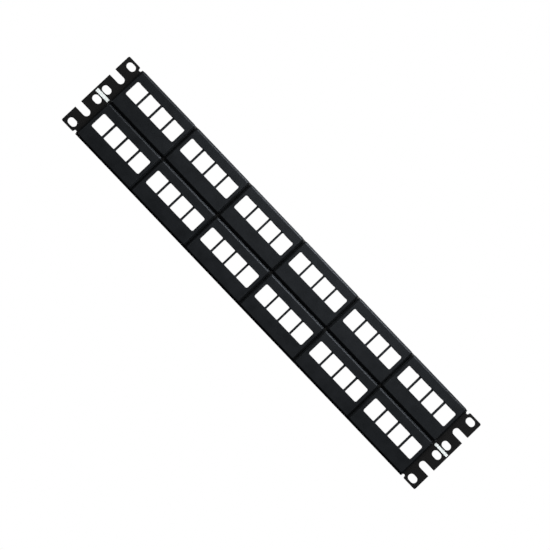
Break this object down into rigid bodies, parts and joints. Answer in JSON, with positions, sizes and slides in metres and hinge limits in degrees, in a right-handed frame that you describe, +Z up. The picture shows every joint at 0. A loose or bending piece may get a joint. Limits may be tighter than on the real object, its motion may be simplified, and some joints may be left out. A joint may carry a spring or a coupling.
{
  "type": "patch panel",
  "caption": "Rack-mount modular patch panel: black folded sheet-steel frame with slotted ears and rows of snap-in black faceplates with empty square jack openings.",
  "frame": {"origin": "middle of the rack-mounting plane, the rear face of the frame's sheet and of both ears, on the panel's centre", "axes": "+X along the panel to the right as seen from the front, +Y to the rear into the rack, +Z up; the front faces -Y"},
  "size_m": [0.4826, 0.0279, 0.0882],
  "materials": {
    "powder_coat": "fine-textured black powder coat on steel",
    "black_plastic": "fine spark-eroded texture, satin black",
    "white_label": "plain matt white vinyl"
  },
  "bodies": {
    "panel": {"frame": "powder_coat", "left_ear_label": "white_label", "right_ear_label": "white_label"},
    "upper_1": {"faceplate_upper_1": "black_plastic"},
    "upper_2": {"faceplate_upper_2": "black_plastic"},
    "upper_3": {"faceplate_upper_3": "black_plastic"},
    "upper_4": {"faceplate_upper_4": "black_plastic"},
    "upper_5": {"faceplate_upper_5": "black_plastic"},
    "upper_6": {"faceplate_upper_6": "black_plastic"},
    "lower_1": {"faceplate_lower_1": "black_plastic"},
    "lower_2": {"faceplate_lower_2": "black_plastic"},
    "lower_3": {"faceplate_lower_3": "black_plastic"},
    "lower_4": {"faceplate_lower_4": "black_plastic"},
    "lower_5": {"faceplate_lower_5": "black_plastic"},
    "lower_6": {"faceplate_lower_6": "black_plastic"}
  },
  "joints": [
    {"name": "upper_1_pull_off", "type": "slide", "parent": "panel", "child": "upper_1", "axis": [0, -1, 0], "range_m": [0, 0.025]},
    {"name": "upper_2_pull_off", "type": "slide", "parent": "panel", "child": "upper_2", "axis": [0, -1, 0], "range_m": [0, 0.025]},
    {"name": "upper_3_pull_off", "type": "slide", "parent": "panel", "child": "upper_3", "axis": [0, -1, 0], "range_m": [0, 0.025]},
    {"name": "upper_4_pull_off", "type": "slide", "parent": "panel", "child": "upper_4", "axis": [0, -1, 0], "range_m": [0, 0.025]},
    {"name": "upper_5_pull_off", "type": "slide", "parent": "panel", "child": "upper_5", "axis": [0, -1, 0], "range_m": [0, 0.025]},
    {"name": "upper_6_pull_off", "type": "slide", "parent": "panel", "child": "upper_6", "axis": [0, -1, 0], "range_m": [0, 0.025]},
    {"name": "lower_1_pull_off", "type": "slide", "parent": "panel", "child": "lower_1", "axis": [0, -1, 0], "range_m": [0, 0.025]},
    {"name": "lower_2_pull_off", "type": "slide", "parent": "panel", "child": "lower_2", "axis": [0, -1, 0], "range_m": [0, 0.025]},
    {"name": "lower_3_pull_off", "type": "slide", "parent": "panel", "child": "lower_3", "axis": [0, -1, 0], "range_m": [0, 0.025]},
    {"name": "lower_4_pull_off", "type": "slide", "parent": "panel", "child": "lower_4", "axis": [0, -1, 0], "range_m": [0, 0.025]},
    {"name": "lower_5_pull_off", "type": "slide", "parent": "panel", "child": "lower_5", "axis": [0, -1, 0], "range_m": [0, 0.025]},
    {"name": "lower_6_pull_off", "type": "slide", "parent": "panel", "child": "lower_6", "axis": [0, -1, 0], "range_m": [0, 0.025]}
  ]
}
